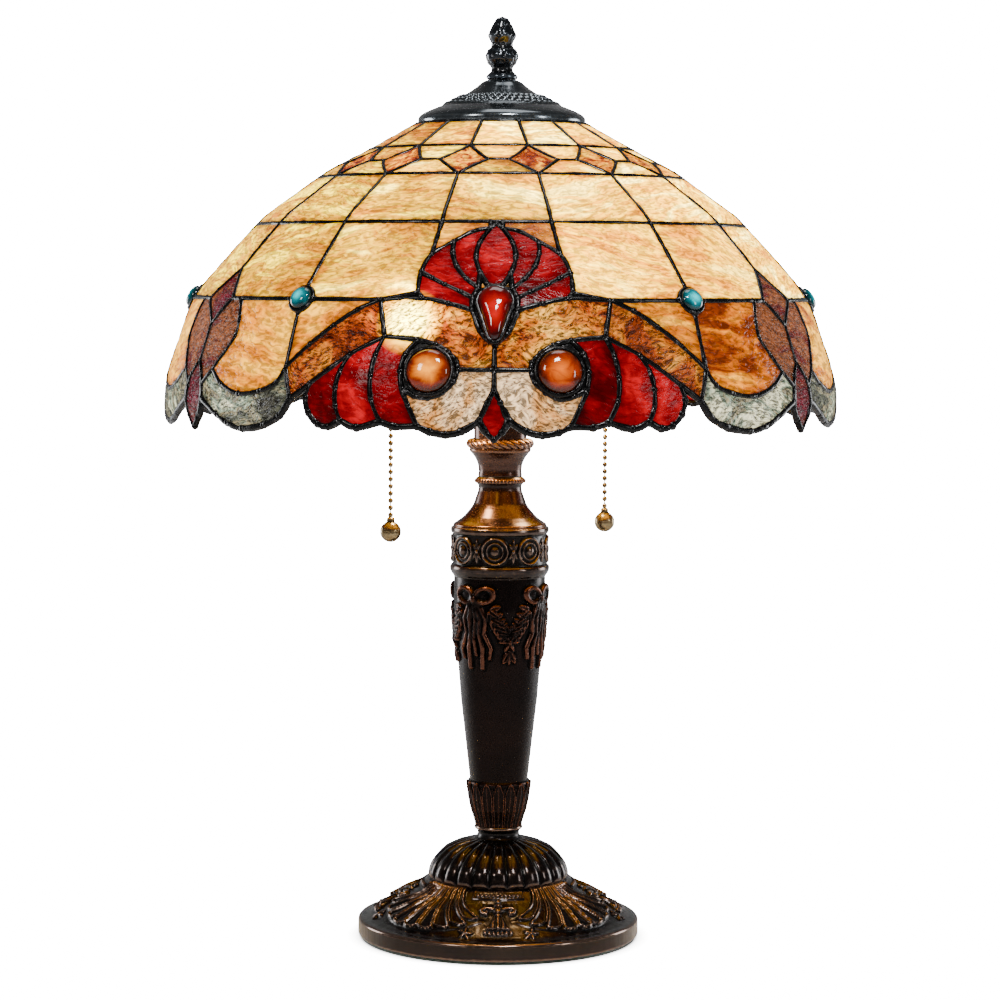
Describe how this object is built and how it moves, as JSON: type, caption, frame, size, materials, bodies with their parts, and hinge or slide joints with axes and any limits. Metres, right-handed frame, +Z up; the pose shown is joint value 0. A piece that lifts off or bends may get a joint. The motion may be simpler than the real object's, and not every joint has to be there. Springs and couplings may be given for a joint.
{
  "type": "leaded glass table lamp",
  "caption": "Table lamp with a turning leaded glass dome shade, pendant bulbs, pull chains that pull and swing, a screw finial and an ornate turned bronze stand.",
  "frame": {"origin": "centre of the felt's underside, where the lamp stands", "axes": "+Z up along the rod; the front, with a lotus motif, faces -Y; +X is to the right as seen from the front"},
  "size_m": [0.4029, 0.4029, 0.554],
  "materials": {
    "felt": "dark green felt",
    "bronze": "dark brown bronze patina with rubbed copper edges",
    "copper_bronze": "satin copper brown",
    "dark_bronze": "near-black bronze patina",
    "black_plastic": "matt",
    "brass": "satin",
    "chain_brass": "antique",
    "steel": "zinc plated",
    "liner": "pressed fibre",
    "bulb_glass": "frosted, lit",
    "cream_glass": "opalescent, rippled",
    "amber_glass": "clear amber",
    "orange_glass": "opalescent, streaked",
    "red_glass": "clear cherry red",
    "brown_glass": "hammered",
    "green_glass": "rippled",
    "maroon_glass": "streaked",
    "blue_glass": "clear",
    "solder": "black patina on tin solder"
  },
  "bodies": {
    "stand": {"felt_pad": "felt", "base_plate": "bronze", "base_leaves": "bronze", "base_palmettes": "bronze", "cord_inlet": "black_plastic", "base_dome": "bronze", "dome_ring": "bronze", "leaf_cup": "bronze", "column": "bronze", "column_festoons": "bronze", "medallion_band": "bronze", "medallions": "bronze", "neck": "copper_bronze", "rope_collar": "copper_bronze", "sleeve": "copper_bronze", "threaded_rod": "brass", "rod_washer": "steel", "rod_nut": "steel", "cluster_hub": "brass", "cluster_arms": "brass", "socket_caps": "brass", "socket_shells": "brass", "socket_liners": "liner", "socket_threads": "brass", "chain_guides": "brass", "seat_nut": "brass", "seat_washer": "brass"},
    "left_contact": {"left_bulb_contact": "steel"},
    "left_bulb": {"left_bulb_cap": "steel", "left_bulb_glass": "bulb_glass"},
    "right_contact": {"right_bulb_contact": "steel"},
    "right_bulb": {"right_bulb_cap": "steel", "right_bulb_glass": "bulb_glass"},
    "left_link": {"left_chain_link": "chain_brass"},
    "left_pull_chain": {"left_chain": "chain_brass"},
    "right_link": {"right_chain_link": "chain_brass"},
    "right_pull_chain": {"right_chain": "chain_brass"},
    "shade": {"shade_cap": "dark_bronze", "cap_filigree": "dark_bronze", "cap_ring": "brass", "glass_crown": "cream_glass", "glass_diamonds": "amber_glass", "glass_band": "cream_glass", "glass_field": "cream_glass", "glass_corners": "orange_glass", "glass_lotus": "red_glass", "glass_ripple": "brown_glass", "glass_cheeks": "brown_glass", "glass_fans": "red_glass", "glass_tongues": "orange_glass", "glass_scallops": "green_glass", "glass_side_motifs": "maroon_glass", "jewel_drops": "red_glass", "jewel_eyes": "amber_glass", "jewel_gems": "blue_glass", "jewel_bezels": "solder", "solder_crown": "solder", "solder_skirt": "solder"},
    "finial_thread": {"finial_insert": "brass"},
    "finial_knob": {"finial": "dark_bronze"}
  },
  "joints": [
    {"name": "shade_turn", "type": "hinge", "parent": "stand", "child": "shade", "pos_m": [0, 0, 0.509], "axis": [0, 0, 1], "continuous": true},
    {"name": "finial_lift", "type": "slide", "parent": "stand", "child": "finial_thread", "axis": [0, 0, 1], "range_m": [0, 0.00376]},
    {"name": "finial_turn", "type": "hinge", "parent": "finial_thread", "child": "finial_knob", "pos_m": [0, 0, 0.5165], "axis": [0, 0, 1], "range_deg": [0, 1440]},
    {"name": "left_bulb_drop", "type": "slide", "parent": "stand", "child": "left_contact", "axis": [0, 0, -1], "range_m": [0, 0.01452]},
    {"name": "left_bulb_turn", "type": "hinge", "parent": "left_contact", "child": "left_bulb", "pos_m": [-0.03986, -0.02491, 0.386], "axis": [0, 0, -1], "range_deg": [0, 1440]},
    {"name": "left_pull", "type": "slide", "parent": "stand", "child": "left_link", "axis": [0, 0, -1], "range_m": [0, 0.008], "stiffness_N_per_m": 150, "springref_m": -0.004},
    {"name": "left_swing", "type": "hinge", "parent": "left_link", "child": "left_pull_chain", "pos_m": [-0.06445, -0.04027, 0.411], "axis": [-0.848, -0.5299, 0], "range_deg": [-20, 20]},
    {"name": "right_bulb_drop", "type": "slide", "parent": "stand", "child": "right_contact", "axis": [0, 0, -1], "range_m": [0, 0.01452]},
    {"name": "right_bulb_turn", "type": "hinge", "parent": "right_contact", "child": "right_bulb", "pos_m": [0.03986, 0.02491, 0.386], "axis": [0, 0, -1], "range_deg": [0, 1440]},
    {"name": "right_pull", "type": "slide", "parent": "stand", "child": "right_link", "axis": [0, 0, -1], "range_m": [0, 0.008], "stiffness_N_per_m": 150, "springref_m": -0.004},
    {"name": "right_swing", "type": "hinge", "parent": "right_link", "child": "right_pull_chain", "pos_m": [0.06445, 0.04027, 0.411], "axis": [0.848, 0.5299, 0], "range_deg": [-20, 20]}
  ],
  "couplings": [
    {"joint": "finial_turn", "follows": "finial_lift", "rad_per_m": 6684.2},
    {"joint": "left_bulb_turn", "follows": "left_bulb_drop", "rad_per_m": 1730.9},
    {"joint": "right_bulb_turn", "follows": "right_bulb_drop", "rad_per_m": 1730.9}
  ]
}
